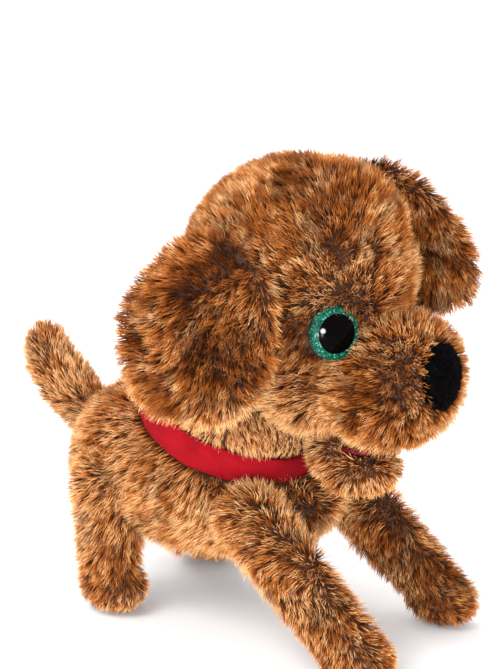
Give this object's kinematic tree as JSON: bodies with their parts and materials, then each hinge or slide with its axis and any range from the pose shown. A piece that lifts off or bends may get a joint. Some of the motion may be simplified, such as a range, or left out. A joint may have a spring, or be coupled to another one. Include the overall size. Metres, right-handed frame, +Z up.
{
  "type": "interactive plush pet",
  "caption": "Standing battery-powered plush puppy: a fabric skin over a moulded frame, with motor-driven swinging legs, tail, head and jaw, soft ears, a felt collar and a press button.",
  "frame": {"origin": "on the floor under the middle of the whole toy's bounding box", "axes": "+Z up, -Y towards the nose, +X towards the dog's own left side"},
  "size_m": [0.1713, 0.2544, 0.237],
  "materials": {
    "plush": "long-pile golden-brown plush",
    "red_felt": "red felt",
    "mouth_felt": "maroon short-pile felt",
    "black_cloth": "black short-pile cloth",
    "eye_gloss": "clear dome over a black pupil and a green glitter ring",
    "motor_metal": "plain drawn metal",
    "board_green": "green lacquered board",
    "cell_skin": "dark printed skin, no wording",
    "steel": "bright plated steel",
    "gear_plastic": "natural moulded plastic",
    "shell_plastic": "dark moulded plastic"
  },
  "bodies": {
    "body": {"battery_1": "cell_skin", "battery_2": "cell_skin", "battery_3": "cell_skin", "battery_box": "shell_plastic", "chassis_left": "shell_plastic", "chassis_right": "shell_plastic", "chassis_screw_1": "steel", "chassis_screw_2": "steel", "chassis_screw_3": "steel", "circuit_board": "board_green", "collar": "red_felt", "contact_front": "steel", "contact_rear": "steel", "drive_motor": "motor_metal", "front_axle": "steel", "front_left_bush": "gear_plastic", "front_right_bush": "gear_plastic", "neck_bracket": "shell_plastic", "neck_motor": "motor_metal", "rear_axle": "steel", "rear_left_bush": "gear_plastic", "rear_right_bush": "gear_plastic", "speaker": "motor_metal", "switch_plate": "shell_plastic", "torso_plush": "plush"},
    "front_beam": {"front_beam": "gear_plastic"},
    "rear_beam": {"rear_beam": "gear_plastic"},
    "link": {"beam_link": "gear_plastic"},
    "pinion": {"motor_pinion": "gear_plastic"},
    "front_left_leg": {"front_left_leg_core": "gear_plastic", "front_left_leg_plush": "plush"},
    "front_right_leg": {"front_right_leg_core": "gear_plastic", "front_right_leg_plush": "plush"},
    "rear_left_leg": {"rear_left_leg_core": "gear_plastic", "rear_left_leg_plush": "plush"},
    "rear_right_leg": {"rear_right_leg_core": "gear_plastic", "rear_right_leg_plush": "plush"},
    "tail": {"tail_core": "gear_plastic", "tail_plush": "plush"},
    "neck": {"neck_post": "gear_plastic"},
    "head": {"head_plush": "plush", "head_shell": "shell_plastic", "nod_axle": "steel", "nose": "black_cloth", "mouth_lining": "mouth_felt", "mouth_motor": "motor_metal", "eye_left": "eye_gloss", "eye_right": "eye_gloss", "eye_washer_left": "shell_plastic", "eye_washer_right": "shell_plastic"},
    "jaw": {"jaw_axle": "steel", "jaw_core": "gear_plastic", "jaw_plush": "plush", "jaw_lining": "mouth_felt"},
    "right_ear": {"ear_right": "plush"},
    "left_ear": {"ear_left": "plush"},
    "button": {"back_button": "shell_plastic"},
    "switch": {"power_switch": "cell_skin"},
    "door": {"battery_door": "shell_plastic", "door_screw": "steel"}
  },
  "joints": [
    {"name": "front_left_leg_swing", "type": "hinge", "parent": "body", "child": "front_left_leg", "pos_m": [0.0415, -0.042, 0.067], "axis": [1, 0, 0], "range_deg": [-12, 12]},
    {"name": "front_beam_turn", "type": "hinge", "parent": "body", "child": "front_beam", "pos_m": [0, -0.042, 0.055], "axis": [0, 0, 1], "range_deg": [-12, 12]},
    {"name": "pinion_turn", "type": "hinge", "parent": "body", "child": "pinion", "pos_m": [0, -0.017, 0.055], "axis": [0, 0, 1], "range_deg": [-48, 48]},
    {"name": "rear_beam_turn", "type": "hinge", "parent": "body", "child": "rear_beam", "pos_m": [0, 0.047, 0.055], "axis": [0, 0, 1], "range_deg": [-12, 12]},
    {"name": "link_turn", "type": "hinge", "parent": "front_beam", "child": "link", "pos_m": [0.0065, -0.042, 0.0573], "axis": [0, 0, 1], "range_deg": [-12, 12]},
    {"name": "front_right_leg_swing", "type": "hinge", "parent": "body", "child": "front_right_leg", "pos_m": [-0.0415, -0.042, 0.067], "axis": [1, 0, 0], "range_deg": [-12, 12]},
    {"name": "rear_left_leg_swing", "type": "hinge", "parent": "body", "child": "rear_left_leg", "pos_m": [0.0415, 0.047, 0.067], "axis": [1, 0, 0], "range_deg": [-12, 12]},
    {"name": "rear_right_leg_swing", "type": "hinge", "parent": "body", "child": "rear_right_leg", "pos_m": [-0.0415, 0.047, 0.067], "axis": [1, 0, 0], "range_deg": [-12, 12]},
    {"name": "tail_wag", "type": "hinge", "parent": "body", "child": "tail", "pos_m": [0, 0.065, 0.055], "axis": [0, 0, 1], "range_deg": [-23, 23]},
    {"name": "neck_turn", "type": "hinge", "parent": "body", "child": "neck", "pos_m": [0, -0.002, 0.101], "axis": [0, -0.3746, 0.9272], "range_deg": [-20, 20]},
    {"name": "head_nod", "type": "hinge", "parent": "neck", "child": "head", "pos_m": [0, -0.01773, 0.13994], "axis": [1, 0, 0], "range_deg": [-8, 3]},
    {"name": "jaw_open", "type": "hinge", "parent": "head", "child": "jaw", "pos_m": [0, -0.064, 0.115], "axis": [1, 0, 0], "range_deg": [0, 8]},
    {"name": "right_ear_swing", "type": "hinge", "parent": "head", "child": "right_ear", "pos_m": [-0.058, -0.029, 0.212], "axis": [0, 1, 0], "range_deg": [0, 50]},
    {"name": "left_ear_swing", "type": "hinge", "parent": "head", "child": "left_ear", "pos_m": [0.0483, -0.043, 0.224], "axis": [0, -1, 0], "range_deg": [0, 40]},
    {"name": "button_press", "type": "slide", "parent": "body", "child": "button", "axis": [0, 0, -1], "range_m": [0, 0.0015], "stiffness_N_per_m": 400},
    {"name": "switch_slide", "type": "slide", "parent": "body", "child": "switch", "axis": [1, 0, 0], "range_m": [0, 0.004]},
    {"name": "door_lift_off", "type": "slide", "parent": "body", "child": "door", "axis": [0, 0, -1], "range_m": [0, 0.015]}
  ],
  "couplings": [
    {"joint": "pinion_turn", "follows": "front_left_leg_swing", "ratio": -4},
    {"joint": "rear_beam_turn", "follows": "front_left_leg_swing", "ratio": 1},
    {"joint": "link_turn", "follows": "front_left_leg_swing", "ratio": -1},
    {"joint": "front_beam_turn", "follows": "front_left_leg_swing", "ratio": 1},
    {"joint": "front_right_leg_swing", "follows": "front_left_leg_swing", "ratio": -1},
    {"joint": "rear_left_leg_swing", "follows": "front_left_leg_swing", "ratio": 1},
    {"joint": "rear_right_leg_swing", "follows": "front_left_leg_swing", "ratio": -1},
    {"joint": "tail_wag", "follows": "front_left_leg_swing", "ratio": -1.9}
  ]
}
